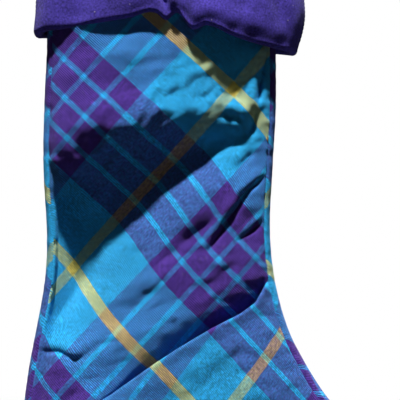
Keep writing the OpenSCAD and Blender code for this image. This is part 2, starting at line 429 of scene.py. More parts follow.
def front_height(x, z, sizes):
    """Outward height of everything slack on the front: the great fold, the wrinkles and fine crumples."""
    height = great_fold_height(x, z, sizes.fold_depth / MM)
    height = height + wrinkle_height(x, z, FRONT_WRINKLES)
    # The cloth swells against the cuff's heel side and sinks a little under its toe side.
    height = height + 3.4 * np.exp(-((x + 42) / 30) ** 2 - ((z + 97) / 20) ** 2)
    height = height - 2.4 * np.exp(-((x - 42) / 32) ** 2 - ((z + 122) / 24) ** 2)
    along, across = fold_place(x, z)
    crumple_zone = np.exp(-((across + 18) / 34) ** 2 - ((along - 5) / 75) ** 2)
    height = height + crumple_zone * 1.5 * (1 - 1.3 * np.abs(soft_noise(along * 0.5, across, 17, 5)))
    ruffled = np.exp(-((x - 26) / 42) ** 2 - ((z + 132) / 28) ** 2)
    ruffles = 0.36 * soft_noise(along * 0.45, across, 9, 23) + 0.2 * soft_noise(x, z, 5, 24)
    height = height + ruffled * ruffles
    height = height + 0.9 * soft_noise(x, z, 46, 7) + 0.24 * soft_noise(x, z, 15, 8)
    return height + 0.15 * soft_noise(x, z, 6, 9)


def back_height(x, z):
    """Outward height of everything slack on the back."""
    height = wrinkle_height(x, z, BACK_WRINKLES)
    height = height + 1.4 * soft_noise(x, z, 55, 17) + 0.45 * soft_noise(x, z, 18, 18)
    return height + 0.12 * soft_noise(x, z, 6, 19)


def unrolled(station, turn, middle_turn, way):
    """The flat place of each point: the middle of its own section, and from there the true length round
    the section.

    way is 1 where turns run towards the toe side and -1 where they run back. Past the last station the
    middle line goes on ahead by its own length over the toe."""
    steps = 18
    run = np.zeros(station.shape)
    last = smooth_surface(station, np.full(station.shape, middle_turn))
    for k in range(1, steps + 1):
        place = smooth_surface(station, middle_turn + (turn - middle_turn) * k / steps)
        run += np.linalg.norm(place - last, axis=-1)
        last = place
    run *= np.sign(turn - middle_turn) * way
    row = outline_rows(np.minimum(station, LAST_STATION))
    across = row[..., 2:4] - row[..., 0:2]
    width = np.linalg.norm(across, axis=-1, keepdims=True)
    across = across / width
    ahead = np.stack([across[..., 1], -across[..., 0]], -1)
    past = np.clip(station - LAST_STATION, 0, 1)[..., None]
    return (row[..., 0:2] + row[..., 2:4]) / 2 + run[..., None] * across + ahead * past * (width / 2 + 12)


def seam_shape(points, edge_distance, outward):
    """Pulls the cloth in along a seam, with small puckers beside it."""
    valley = -1.1 * np.exp(-(edge_distance / 1.7) ** 2)
    ripple = 0.55 * np.exp(-edge_distance / 9) * (1 - np.exp(-edge_distance / 2)) * soft_noise(
        points[..., 0] * 0.3, points[..., 2], 8, 31)
    return points + (valley + ripple)[..., None] * outward


def section_outward(turn):
    """Outward direction of a row's section at a turn: across, and to the front or back."""
    angle = np.radians(turn)
    outward = np.stack([-np.cos(angle) * 0.8, -np.sin(angle), np.zeros_like(angle)], -1)
    return outward / np.linalg.norm(outward, axis=-1, keepdims=True)


def front_cloth(sizes):
    """The front panel: places and flat places on a grid.

    Rows run from the mouth to the ankle edge, through the hidden tuck and on to the toe, so that one row
    of the grid lies along the crisp edge. In the tuck the cloth goes down behind the foot cloth and comes
    up again to the edge."""
    turn = np.linspace(SEAM_TURN, 180 - SEAM_TURN, 131)
    edge = ankle_station(turn)
    above, tuck, below = 178, 22, 128
    station = np.concatenate([
        np.linspace(0, 1, above, endpoint=False)[:, None] * (edge - 0.03),
        edge - 0.03 + 0.06 * np.linspace(0, 1, tuck)[:, None],
        edge + 0.03 + np.linspace(0, 1, below + 1)[1:, None] * (LAST_STATION + 1 - edge - 0.03)])
    turns = np.broadcast_to(turn, station.shape)
    base = smooth_surface(station, turns)
    x, z = base[..., 0], base[..., 2]
    seam_gap = np.minimum(turns - SEAM_TURN, 180 - SEAM_TURN - turns)
    hold = smooth_step(seam_gap, 0.5, 14)
    toe_fade = 1 - smooth_step(station, LAST_STATION + 0.2, LAST_STATION + 0.8)
    under_cuff = smooth_step(-z, 20, 105)
    height = front_height(x, z, sizes) * hold * toe_fade * under_cuff

    # The tuck: down behind the edge and up again, and the slopes that lead to it.
    crease = sizes.crease_depth / MM
    live = smooth_curve(x, [-70, -48, -20, 20, 66, 80, 90], [0.0, 0.12, 0.8, 1.0, 1.0, 0.8, 0.3]) * hold
    u = np.zeros(station.shape)
    u[above:above + tuck] = np.linspace(0, 1, tuck)[:, None]
    u[above + tuck:] = 1
    drop = np.zeros(station.shape)
    drop[above:above + tuck] = (crease * 0.5 * (1 - np.cos(2 * math.pi * np.linspace(0, 1, tuck))))[:, None]
    to_edge = z - ankle_edge_z(x)
    over = np.maximum(to_edge, 0)
    upper = np.where(u == 0, 0.6 * np.exp(-over / 6.5) + 0.4 * np.exp(-over / 19), 0)
    lower = np.where(u == 1, np.exp(-np.maximum(-to_edge, 0) / 22), 0)
    sink = 12.5
    stand = 3.0
    height = height * (1 - 0.5 * live * np.exp(-np.abs(to_edge) / 12))
    band = -sink + (sink - 2.5) * smooth_step(u, 0.3, 0.7) + (2.5 + stand) * smooth_step(u, 0.86, 1.0)
    band = np.where((u > 0) & (u < 1), band, 0)
    height = height + live * (-sink * upper + stand * lower + band)
    down = np.array([0.5, 0, -0.86])
    points = base + height[..., None] * np.array([0, -1, 0]) + (live * drop)[..., None] * down
    points[..., 1] = -kept_forward(-points[..., 1], 3.0 - hollow_room(turns), 1.8)

    points = seam_shape(points, seam_gap * 1.25, section_outward(turns))
    return points, front_flat(station, turns, u)


def front_flat(station, turns, u):
    """Where each point of the front lies in the flat cloth: unrolled rows, with the length that the slack
    takes up.

    Below the great fold the bias-cut cloth has slipped sideways, and below the tuck it has drawn in
    further."""
    flat = unrolled(station, turns, 90.0, 1)
    x, z = flat[..., 0], flat[..., 1]
    across = fold_place(x, z)[1]
    slip = smooth_curve(across, [-5, 8, 25, 42, 57, 75, 98, 130], [0, 0.8, 4.5, 10.0, 14.5, 17.8, 19.5, 20.0])
    leg = np.stack([x + slip, z], -1)
    foot = np.stack([x + 0.19 * (x + 105.8), z - 2.25], -1)
    share = smooth_curve(x, [-95, -62, -30, 10], [0.0, 0.1, 0.75, 1.0])
    below = leg + (foot - leg) * share[..., None]
    return leg + (below - leg) * u[..., None]


def back_cloth(sizes):
    """The back panel: places and flat places on a grid, from the toe-side seam round to the heel-side
    seam."""
    turn = np.linspace(180 - SEAM_TURN, 360 + SEAM_TURN, 151)
    station = np.linspace(0, LAST_STATION + 1, 270)[:, None] + np.zeros(turn.shape)
    turns = np.broadcast_to(turn, station.shape)
    base = smooth_surface(station, turns)
    seam_gap = np.minimum(turns - 180 + SEAM_TURN, 360 + SEAM_TURN - turns)
    hold = smooth_step(seam_gap, 1, 40)
    toe_fade = 1 - smooth_step(station, LAST_STATION + 0.2, LAST_STATION + 0.8)
    height = back_height(base[..., 0], base[..., 2]) * hold * toe_fade * smooth_step(-base[..., 2], 20, 105)
    side = smooth_step(np.abs(np.sin(np.radians(turns))), 0.1, 0.6)
    points = base + (height * side)[..., None] * np.array([0, 1, 0])
    points = seam_shape(points, seam_gap * 1.25, section_outward(turns))
    flat = unrolled(station, turns, 270.0, -1)
    return points, flat * np.array([-1, 1]) + np.array([61.0, -23.0])


# ---------------------------------------------------------------- the cuff

def hem_lift(x):
    """How much higher than straight the cuff's hem hangs at the front, at x."""
    return smooth_curve(x, [-104, -95.6, -87, -75, -53, -23, -3, 4.5, 12.8, 17.3, 22, 34, 53, 67, 89, 101,
                            112],
                        [1, 3.2, 8.2, 9.2, 13.2, 18.9, 23.3, 18.9, 24.7, 20.6, 14.3, 17.3, 11.3, 8.2, 4.6,
                         3.9, 2])


def cuff_surface(sizes):
    """The whole cuff as one closed ring: places and flat places on a grid that wraps both ways.

    The section goes up the inner leg, over the mouth, down the outer face, round the soft rolled hem and
    back up inside. Outward distance, height and
    its shares of the drop and of the flare are four curves along it, so every turn round the mouth has its
    own section."""
    around = 420
    turn = np.arange(around) * 360 / around
    angle = np.radians(turn)[:, None]

    outer, roll, inner, top = 46, 16, 24, 12
    face_share = np.linspace(0, 1, outer)
    roll_turn = np.linspace(0, math.pi, roll + 2)[1:-1]
    top_turn = np.linspace(math.pi, 0, top + 2)[1:-1]
    thick, hem_thick, lip = 2.6, 8.5, 3.9
    back_share = np.linspace(1, 0.03, inner)
    back_wall = thick + (hem_thick - thick) * smooth_step(back_share, 0.72, 1.0)
    out = np.concatenate([
        np.full(5, -4.9),
        -1.15 + 3.85 * np.cos(top_turn),
        np.full(outer, thick + 0.1),
        thick + 0.1 - hem_thick / 2 + hem_thick / 2 * np.cos(roll_turn),
        thick + 0.1 - back_wall,
        np.full(2, 0.1),
        np.full(2, -2.4),
        np.full(3, -2.4)])
    height = np.concatenate([
        np.linspace(-16, -4.4, 5),
        -lip + lip * np.sin(top_turn),
        np.full(outer, -lip),
        -lip - hem_thick * 0.55 * np.sin(roll_turn),
        np.full(inner, -lip),
        np.array([-3.4, -2.9]),
        np.array([-2.9, -3.6]),
        np.linspace(-6, -16, 3)])
    share = np.concatenate([
        np.zeros(5 + top), face_share, np.ones(roll), back_share, np.zeros(7)])
    outer_face = np.concatenate([
        np.zeros(5 + top), smooth_step(face_share, 0.02, 0.12), np.ones(roll), np.zeros(inner + 7)])
    out, height, share, outer_face = (v[None, :] for v in (out, height, share, outer_face))

    toe_side = np.maximum(0, -np.cos(angle)) ** 3
    heel_side = np.maximum(0, np.cos(angle)) ** 2
    face = 1 - toe_side - heel_side
    toe_flare = smooth_curve(share, [0, 0.3, 0.62, 0.85, 1.0], [0, 14, 20.5, 19.5, 15.5])
    heel_flare = smooth_curve(share, [0, 0.35, 0.7, 1.0], [0, 4.5, 7.5, 9.0])
    face_flare = smooth_curve(share, [0, 0.4, 0.76, 0.91, 1.0], [0, 5.2, 9.8, 11.0, 9.4])
    # The face hangs closer to the leg towards the heel side than towards the toe side.
    toe_bulge = np.exp(-((np.cos(angle) + 0.55) / 0.28) ** 2) * (np.sin(angle) > 0)
    lean = 0.87 - 0.42 * np.cos(angle) + 0.4 * toe_bulge
    flare = toe_side * toe_flare + heel_side * heel_flare + face * face_flare * lean

    half_width, half_depth = OUTLINE[0, 2], OUTLINE[0, 4]
    reach = out + flare
    x = -np.cos(angle) * (half_width + reach)
    rise = np.sin(angle)
    y = -np.sign(rise) * np.abs(rise) ** FULLNESS * (half_depth + reach)
    front = np.clip(rise, 0, 1) ** 0.5
    lift = hem_lift(x) * front + 3.0 * np.clip(-rise, 0, 1)
    drop = sizes.cuff_drop / MM + sizes.hem_slope * x - lift - lip
    z = height - share * drop

    # Slack in the outer face: two tucks near the middle of the front, long soft waves and a fine unevenness.
    tucks = np.array([
        [-4, -38, 7, -74, 3.4, 6.0],
        [7, -74, 11, -90, 3.0, 5.0],
        [12, -44, 21, -82, 4.0, 3.2],
        [84, -52, 94, -84, 6.0, 2.5],
        [-60, -40, -66, -84, 9.0, 1.4]])
    slack = (wrinkle_height(x, z, tucks) * smooth_step(rise, 0.05, 0.5)
             + 1.0 * soft_noise(x, z * 0.5 + y, 52, 41) * smooth_step(share, 0.05, 0.7)
             + 0.2 * soft_noise(x + y, z, 19, 42) * smooth_step(share, 0.0, 0.3))
    slack = slack * outer_face
    points = np.stack([x - np.cos(angle) * slack * 0.6, y - np.sign(rise) * np.abs(rise) ** 0.5 * slack,
                       z + np.zeros_like(x)], -1)

    closed = np.concatenate([points, points[:1]], 0)
    closed = np.concatenate([closed, closed[:, :1]], 1)
    run = np.cumsum(np.linalg.norm(np.diff(closed, axis=1), axis=-1), axis=1)
    run = np.concatenate([np.zeros((closed.shape[0], 1)), run], 1)
    girth = np.cumsum(np.linalg.norm(np.diff(closed, axis=0), axis=-1)[:, 40])
    girth = np.concatenate([[0], girth])[:, None] + np.zeros(closed.shape[1])
    return points, np.stack([girth, run], -1)


# ---------------------------------------------------------------- the strap

def strap_path():
    """The strap's middle line from one sewn end, up the stem, round the eye and down to the other end: x
    and z in the frame's millimetres. Straight runs and an arc are joined and then smoothed by averaging
    neighbours."""
    low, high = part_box("hanging_loop")
    tail_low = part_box("loop_tails")[0].z / MM
    half_thick = STRAP_THICK / 2
    eye_radius = high.x / MM - half_thick
    pinch = math.radians(39)
    arc_turn = np.linspace(-math.pi / 2 - pinch, -math.pi / 2 - 2 * math.pi + pinch, 120)
    arc = eye_radius * np.stack([np.cos(arc_turn), np.sin(arc_turn)], -1)
    waist = -eye_radius / math.cos(pinch) - 1.5
    left = np.array([[-half_thick, tail_low], [-half_thick, waist - 1]])
    corners = np.concatenate([left, arc, left[::-1] * [-1, 1]])
    run = length_along(corners)
    path = at_lengths(np.linspace(0, run[-1], 260), run, corners)
    for _ in range(6):
        path[1:-1] = (path[:-2] + 2 * path[1:-1] + path[2:]) / 4
    return path


def bow_tails(points):
    """Bends the sewn ends to the curve of the mouth that they lie against."""
    y, z = points[..., 1], points[..., 2]
    sewn = smooth_step(-z, -EYE_BASE_Z + 1.0, -EYE_BASE_Z + 7.0)
    bow = 2.5 * (1 - (y / (STRAP_WIDE / 2 + 0.4)) ** 2) * sewn
    moved = points.copy()
    moved[..., 0] -= bow
    return moved


def path_frame(path):
    """Directions along the path and out of the eye, in x and z."""
    along = np.gradient(path, axis=0)
    along /= np.linalg.norm(along, axis=1, keepdims=True)
    return along, np.stack([-along[:, 1], along[:, 0]], -1)


def strap_section():
    """The strap's section: a flat band with rounded, slightly thicker edges and a groove under each
    stitch row."""
    side = np.linspace(-1, 1, 25)
    y = STRAP_WIDE / 2 * np.sin(side * math.pi / 2)
    groove = 0.16 * np.exp(-((np.abs(y) - STRAP_WIDE / 2 + STRAP_EDGE) / 0.45) ** 2)
    half = STRAP_THICK / 2 * np.sqrt(np.clip(1 - (np.abs(y) / (STRAP_WIDE / 2)) ** 10, 0, 1)) - groove
    half[[0, -1]] = 0.02
    upper = np.stack([y, half], -1)
    lower = np.stack([y, -half], -1)[::-1]
    return np.concatenate([upper, lower])


# ---------------------------------------------------------------- materials

def feed(socket, value):
    """Joins a socket to another one, or gives it a value of its own."""
    if isinstance(value, bpy.types.NodeSocket):
        socket.id_data.links.new(value, socket)
    else:
        socket.default_value = value


def node(tree, kind, inputs=None, **settings):
    """A shader node with its settings, and its inputs by name: each is a socket or a value."""
    made = tree.nodes.new(kind)
    for key, value in settings.items():
        setattr(made, key, value)
    for key, value in (inputs or {}).items():
        feed(made.inputs[key], value)
    return made


def math_node(tree, operation, *values):
    """The result of one Math node."""
    return node(tree, "ShaderNodeMath", dict(enumerate(values)), operation=operation).outputs[0]


def colour_mix(tree, share, first, second, blend="MIX"):
    """The result of one colour Mix node, whose colour sockets are its seventh and eighth."""
    inputs = {0: share, 6: first, 7: second}
    return node(tree, "ShaderNodeMix", inputs, data_type="RGBA", blend_type=blend).outputs[2]


def shaded(tree, colour, level):
    """A colour made darker or lighter by a level."""
    grey = node(tree, "ShaderNodeCombineXYZ", {"X": level, "Y": level, "Z": level})
    return colour_mix(tree, 1.0, colour, grey.outputs[0], "MULTIPLY")


def gamma(tree, colour, power):
    """A colour raised to a power."""
    return node(tree, "ShaderNodeGamma", {"Color": colour, "Gamma": power}).outputs[0]


def noise(tree, place, scale, detail, dimensions="3D"):
    """The strength of a noise texture at each place."""
    return node(tree, "ShaderNodeTexNoise", {"Vector": place, "Scale": scale, "Detail": detail},
                noise_dimensions=dimensions).outputs["Fac"]


def swing(tree, strength, amount):
    """A strength from 0 to 1 turned into a swing either side of nothing."""
    return math_node(tree, "MULTIPLY", math_node(tree, "SUBTRACT", strength, 0.5), amount)


def shader_group(name, inputs, outputs):
    """An empty node group with named sockets."""
    group = bpy.data.node_groups.new(name, "ShaderNodeTree")
    for socket, kind, default in inputs:
        made = group.interface.new_socket(socket, in_out="INPUT", socket_type=kind)
        if default is not None:
            made.default_value = default
    for socket, kind in outputs:
        group.interface.new_socket(socket, in_out="OUTPUT", socket_type=kind)
    return group, group.nodes.new("NodeGroupInput"), group.nodes.new("NodeGroupOutput")


def sett_ramp(group, share, colours):
    """The colour of the yarn that lies at each share of one repeat of the sett."""
    ramp = node(group, "ShaderNodeValToRGB", {"Fac": share})
    ramp.color_ramp.interpolation = "CONSTANT"
    stops = ramp.color_ramp.elements
    edge = 0.0
    for k, (name, width) in enumerate(SETT):
        stop = stops[k] if k < 2 else stops.new(edge / SETT_REPEAT)
        stop.position = edge / SETT_REPEAT
        stop.color = colours[name]
        edge += width
    return ramp.outputs["Color"]


def sett_group(colours):
    """Woven sett: two families of yarn at right angles follow one sett, and each place shows the yarn that
    is on top.

    The first family stands up as fine ribs with the second in the grooves between them, so that a crossing
    of two colours is a half tone of both."""
    group, given, out = shader_group(
        "Woven sett",
        [("Cloth", "NodeSocketVector", None), ("Rib pitch", "NodeSocketFloat", 0.00138),
         ("Cross pitch", "NodeSocketFloat", 0.00092)],
        [("Colour", "NodeSocketColor"), ("Height", "NodeSocketFloat")])
    cloth = given.outputs["Cloth"]
    wobble = noise(group, cloth, 90, 3, "2D")
    sin, cos = math.sin(BIAS_TURN), math.cos(BIAS_TURN)
    yellow_width = SETT[0][1]
    place, yarn, thick = {}, {}, {}
    for family, direction in (("rib", (sin, cos, 0)), ("cross", (cos, -sin, 0))):
        dot = node(group, "ShaderNodeVectorMath", {0: cloth, 1: direction}, operation="DOT_PRODUCT")
        place[family] = math_node(group, "MULTIPLY_ADD", wobble, YARN_WOBBLE * MM, dot.outputs["Value"])
        crossing = YELLOW_CROSSING[0] * direction[0] + YELLOW_CROSSING[1] * direction[1]
        start = crossing - yellow_width / 2 + YARN_WOBBLE / 2
        run = math_node(group, "SUBTRACT", place[family], start * MM)
        share = math_node(group, "FRACT", math_node(group, "DIVIDE", run, SETT_REPEAT * MM))
        yarn[family] = sett_ramp(group, share, colours)
        # The yellow yarn is thicker than the others, so more of it shows where it crosses them.
        yellow = math_node(group, "LESS_THAN", share, yellow_width / SETT_REPEAT)
        thick[family] = math_node(group, "MULTIPLY", yellow, 0.2)

    rib_turn = math_node(group, "DIVIDE", place["rib"], given.outputs["Rib pitch"])
    cross_turn = math_node(group, "DIVIDE", place["cross"], given.outputs["Cross pitch"])
    rib_wave = math_node(group, "COSINE", math_node(group, "MULTIPLY", rib_turn, 2 * math.pi))
    half_step = math_node(group, "MULTIPLY", math_node(group, "FLOOR", rib_turn), math.pi)
    cross_phase = math_node(group, "ADD", math_node(group, "MULTIPLY", cross_turn, 2 * math.pi), half_step)
    cross_wave = math_node(group, "COSINE", cross_phase)
    lean = math_node(group, "ADD", rib_wave, math_node(group, "MULTIPLY", cross_wave, 0.4))
    # Spun yarn is uneven: each family has thick lengths, where more of it shows.
    slubs = []
    for rib_rate, cross_rate in SLUB_RATES:
        stretched = node(group, "ShaderNodeCombineXYZ", {
            "X": math_node(group, "MULTIPLY", place["rib"], rib_rate),
            "Y": math_node(group, "MULTIPLY", place["cross"], cross_rate)})
        slubs.append(noise(group, stretched.outputs[0], 1, 2, "2D"))
    thicker = math_node(group, "MULTIPLY", math_node(group, "SUBTRACT", slubs[0], slubs[1]), 1.1)
    yellow_lead = math_node(group, "SUBTRACT", thick["rib"], thick["cross"])
    rib_lead = math_node(group, "ADD", math_node(group, "ADD", thicker, lean), yellow_lead)
    on_top = node(group, "ShaderNodeMapRange", {"Value": rib_lead, "From Min": -1.35, "From Max": 1.35})
    # Fine threads of two colours shade each other, so their mix is darker than an even blend.
    soft = {family: gamma(group, yarn[family], MIX_GAMMA) for family in yarn}
    woven = gamma(group, colour_mix(group, on_top.outputs[0], soft["cross"], soft["rib"]), 1 / MIX_GAMMA)

    # Painted shade: the grooves between the ribs are painted darker, and the thick lengths are painted
    # lighter, as if they stood out of the grooves into the light.
    shade = math_node(group, "MULTIPLY_ADD", lean, 0.36, 0.94)
    for slub in slubs:
        shade = math_node(group, "MULTIPLY", shade, math_node(group, "MULTIPLY_ADD", slub, 1.15, 0.43))
    feed(out.inputs["Colour"], shaded(group, woven, shade))
    rib_height = math_node(group, "MULTIPLY", rib_wave, 0.5)
    feed(out.inputs["Height"], math_node(group, "MULTIPLY_ADD", cross_wave, 0.35, rib_height))
    return group


def nap_group():
    """Brushed nap: short fibres that blur the colour, cloudy wear, and a few pale specks of lint."""
    group, given, out = shader_group(
        "Brushed nap",
        [("Place", "NodeSocketVector", None), ("Colour", "NodeSocketColor", (0.5, 0.5, 0.5, 1)),
         ("Fibre", "NodeSocketFloat", 0.3), ("Clouds", "NodeSocketFloat", 0.2),
         ("Lint", "NodeSocketFloat", 0.5)],
        [("Colour", "NodeSocketColor"), ("Height", "NodeSocketFloat"), ("Roughness", "NodeSocketFloat")])
    place = given.outputs["Place"]
    fine = noise(group, place, 640, 4)
    cloud = noise(group, place, 42, 5)
    speck = node(group, "ShaderNodeTexVoronoi", {"Vector": place, "Scale": 230})
    fibre = swing(group, fine, given.outputs["Fibre"])
    worn = swing(group, cloud, given.outputs["Clouds"])
    level = math_node(group, "ADD", math_node(group, "ADD", fibre, worn), 1.0)
    clouded = shaded(group, given.outputs["Colour"], level)
    near = node(group, "ShaderNodeMapRange",
                {"Value": speck.outputs["Distance"], "From Min": 0.16, "From Max": 0.06})
    pick = node(group, "ShaderNodeSeparateColor", {0: speck.outputs["Color"]})
    rare = math_node(group, "GREATER_THAN", pick.outputs[0], 0.90)
    lint = math_node(group, "MULTIPLY", math_node(group, "MULTIPLY", near.outputs[0], rare),
                     given.outputs["Lint"])
    feed(out.inputs["Colour"], colour_mix(group, lint, clouded, (0.55, 0.50, 0.62, 1)))
    feed(out.inputs["Height"], math_node(group, "ADD", fine, lint))
    feed(out.inputs["Roughness"], math_node(group, "MULTIPLY_ADD", cloud, 0.12, 0.80))
    return group


def plain_weave_group():
    """Plain weave: over and under of two sets of threads as a product of two waves, which gives a height and
    painted shade between the threads.
    """
    group, given, out = shader_group(
        "Plain weave",
        [("Cloth", "NodeSocketVector", None), ("Colour", "NodeSocketColor", (0.5, 0.5, 0.5, 1)),
         ("Pitch", "NodeSocketFloat", 0.0006)],
        [("Colour", "NodeSocketColor"), ("Height", "NodeSocketFloat")])
    split = node(group, "ShaderNodeSeparateXYZ", {0: given.outputs["Cloth"]})
    waves = []
    for way in (0, 1):
        turns = math_node(group, "DIVIDE", split.outputs[way], given.outputs["Pitch"])
        waves.append(math_node(group, "SINE", math_node(group, "MULTIPLY", turns, math.pi)))
    height = math_node(group, "ABSOLUTE", math_node(group, "MULTIPLY", *waves))
    # Painted shade: the colour is darker where the threads dip under each other and lighter on their crowns.
    shade = math_node(group, "MULTIPLY_ADD", height, 0.35, 0.72)
    feed(out.inputs["Colour"], shaded(group, given.outputs["Colour"], shade))
    feed(out.inputs["Height"], height)
    return group


def new_material(name, finish=None):
    """An empty material with a Principled shader joined to its output; finish holds the shader's values."""
    material = bpy.data.materials.new(name)
    material.use_nodes = True
    tree = material.node_tree
    tree.nodes.clear()
    shader = node(tree, "ShaderNodeBsdfPrincipled", finish)
    node(tree, "ShaderNodeOutputMaterial", {"Surface": shader.outputs[0]})
    return material, tree, shader


def add_group(tree, group, inputs):
    """A node that holds a group, with its inputs."""
    return node(tree, "ShaderNodeGroup", inputs, node_tree=group)


def add_bump(tree, shader, height, distance):
    """Raises the surface by a height, in metres at a height of 1."""
    bump = node(tree, "ShaderNodeBump", {"Strength": 1.0, "Distance": distance, "Height": height})
    feed(shader.inputs["Normal"], bump.outputs["Normal"])


def cloth_place(tree):
    """The piece's own flat-cloth map."""
    return node(tree, "ShaderNodeUVMap", uv_map="cloth").outputs["UV"]


def object_place(tree):
    """The place in the piece's own mesh."""
    return tree.nodes.new("ShaderNodeTexCoord").outputs["Object"]


def tartan_material(colours, groups):
    """Brushed bias-cut tartan."""
    made, tree, shader = new_material(
        "tartan cloth", {"Specular IOR Level": 0.18, "Sheen Weight": 0.06, "Sheen Roughness": 0.5})
    yarns = {"yellow": tuple(colours.yellow_yarn), "cyan": tuple(colours.cyan_yarn),
             "purple": tuple(colours.purple_yarn)}
    sett = add_group(tree, sett_group(yarns), {"Cloth": cloth_place(tree)})
    nap = add_group(tree, groups["nap"], {
        "Place": object_place(tree), "Colour": sett.outputs["Colour"], "Fibre": 0.8, "Clouds": 0.45,
        "Lint": 0.22})
    feed(shader.inputs["Base Color"], nap.outputs["Colour"])
    feed(shader.inputs["Roughness"], nap.outputs["Roughness"])
    height = math_node(tree, "MULTIPLY_ADD", nap.outputs["Height"], 0.7, sett.outputs["Height"])
    add_bump(tree, shader, height, 0.0004)
    return made


def cuff_material(colours, groups):
    """Brushed plain cotton with a short nap and lint."""
    made, tree, shader = new_material(
        "cuff cloth", {"Specular IOR Level": 0.15, "Sheen Weight": 0.12, "Sheen Roughness": 0.5})
    nap = add_group(tree, groups["nap"], {
        "Place": object_place(tree), "Colour": tuple(colours.cuff_cloth), "Fibre": 2.3, "Clouds": 0.9,
        "Lint": 0.7})
    weave = add_group(tree, groups["weave"], {
        "Cloth": cloth_place(tree), "Colour": nap.outputs["Colour"], "Pitch": 0.0008})
    feed(shader.inputs["Base Color"], weave.outputs["Colour"])
    feed(shader.inputs["Roughness"], nap.outputs["Roughness"])
    height = math_node(tree, "MULTIPLY_ADD", nap.outputs["Height"], 1.1, weave.outputs["Height"])
    add_bump(tree, shader, height, 0.00025)
    return made


def plain_material(name, colour, groups, pitch):
    """Plain-woven cotton."""
    made, tree, shader = new_material(
        name, {"Roughness": 0.85, "Specular IOR Level": 0.2, "Sheen Weight": 0.1})
    nap = add_group(tree, groups["nap"], {
        "Place": object_place(tree), "Colour": tuple(colour), "Lint": 0.1})
    weave = add_group(tree, groups["weave"], {
        "Cloth": cloth_place(tree), "Colour": nap.outputs["Colour"], "Pitch": pitch})
    feed(shader.inputs["Base Color"], weave.outputs["Colour"])
    add_bump(tree, shader, weave.outputs["Height"], 0.00015)
    return made


def thread_material(name, colour):
    """Spun sewing thread: fine twisted plies as a slanting wave, with painted shade between the plies and a
    slight gloss.
    """
    made, tree, shader = new_material(name, {"Roughness": 0.6, "Sheen Weight": 0.15})
    wave = node(tree, "ShaderNodeTexWave", {"Vector": object_place(tree), "Scale": 900, "Distortion": 1.5},
                wave_type="BANDS", bands_direction="DIAGONAL")
    # Painted shade: the colour is darker in the grooves between the twisted plies.
    dark = tuple(c * 0.6 for c in colour[:3]) + (1,)
    feed(shader.inputs["Base Color"], colour_mix(tree, wave.outputs["Fac"], dark, tuple(colour)))
    add_bump(tree, shader, wave.outputs["Fac"], 0.00008)
    return made


GROUPS = {}
MATERIALS = {}


def finish_piece(piece, body, slot, material, *nodes):
    """Gives a piece its material and the body that it rides on, and hides the nodes that it stands for. The
    slot is not used.
    """
    piece.data.materials.clear()
    piece.data.materials.append(material)
    if body:
        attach(piece, body)
    if nodes:
        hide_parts(*nodes)


def material(name):
    """A material by its slot, made the first time that it is asked for."""
    if not GROUPS:
        GROUPS["nap"] = nap_group()
        GROUPS["weave"] = plain_weave_group()
    colours = bpy.context.scene.gift_sack_colours
    makers = {
        "tartan_cloth": lambda: tartan_material(colours, GROUPS),
        "cuff_cloth": lambda: cuff_material(colours, GROUPS),
        "lining_cloth": lambda: plain_material("lining cloth", colours.lining_cloth, GROUPS, 0.0005),
        "strap_cloth": lambda: plain_material("strap cloth", colours.cuff_cloth, GROUPS, 0.0006),
        "dark_thread": lambda: thread_material("seam thread", colours.seam_thread),
        "light_thread": lambda: thread_material("top-stitching thread", colours.top_thread)}
    if name not in MATERIALS:
        MATERIALS[name] = makers[name]()
    return MATERIALS[name]


# ---------------------------------------------------------------- settings

def length_setting(name, description, default, low, high):
    """A length in metres that a user may change."""
    return FloatProperty(name=name, description=description, default=default, min=low, max=high,
                         unit="LENGTH", subtype="DISTANCE")


def colour_setting(name, description, default):
    """A colour that a user may change."""
    return FloatVectorProperty(name=name, description=description, default=default, size=4,
                               subtype="COLOR", min=0, max=1)


class GiftSackSizes(bpy.types.PropertyGroup):
    """Sizes that shape the cloth."""
    cloth_thickness: length_setting("Cloth thickness", "Thickness of the tartan", 0.0011, 0.0005, 0.003)
    lining_gap: length_setting("Lining gap", "How far the lining lies inside the tartan's face",
                               0.0024, 0.0015, 0.006)
    fold_depth: length_setting("Fold depth", "How deep the great fold across the leg is", 0.026, 0, 0.03)
    crease_depth: length_setting("Ankle tuck", "How far the leg's cloth goes down behind the foot's",
                                 0.017, 0, 0.02)
    cuff_drop: length_setting("Cuff drop", "Height of the turned-down cuff at its middle",
                              0.0905, 0.06, 0.12)
    hem_slope: FloatProperty(
        name="Hem slope", description="How much lower the hem hangs for each unit towards the toe",
        default=0.069, min=0, max=0.2)
    stitch_length: length_setting("Stitch length", "Length of one stitch", 0.0024, 0.001, 0.005)


class GiftSackColours(bpy.types.PropertyGroup):
    """Colours of the yarns, cloths and threads."""
    cyan_yarn: colour_setting("Cyan yarn", "Colour of the cyan yarn", (0.022, 0.42, 0.86, 1))
    purple_yarn: colour_setting("Purple yarn", "Colour of the purple yarn", (0.080, 0.031, 0.30, 1))
    yellow_yarn: colour_setting("Yellow yarn", "Colour of the yellow yarn", (0.86, 0.70, 0.15, 1))
    cuff_cloth: colour_setting("Cuff cloth", "Colour of the cuff and strap", (0.076, 0.050, 0.430, 1))
    lining_cloth: colour_setting("Lining cloth", "Colour of the lining", (0.075, 0.045, 0.28, 1))
    seam_thread: colour_setting("Seam thread", "Colour of the seam thread", (0.02, 0.02, 0.12, 1))
    top_thread: colour_setting("Top-stitching thread", "Colour of the top stitching",
                               (0.17, 0.12, 0.55, 1))


# ---------------------------------------------------------------- operators

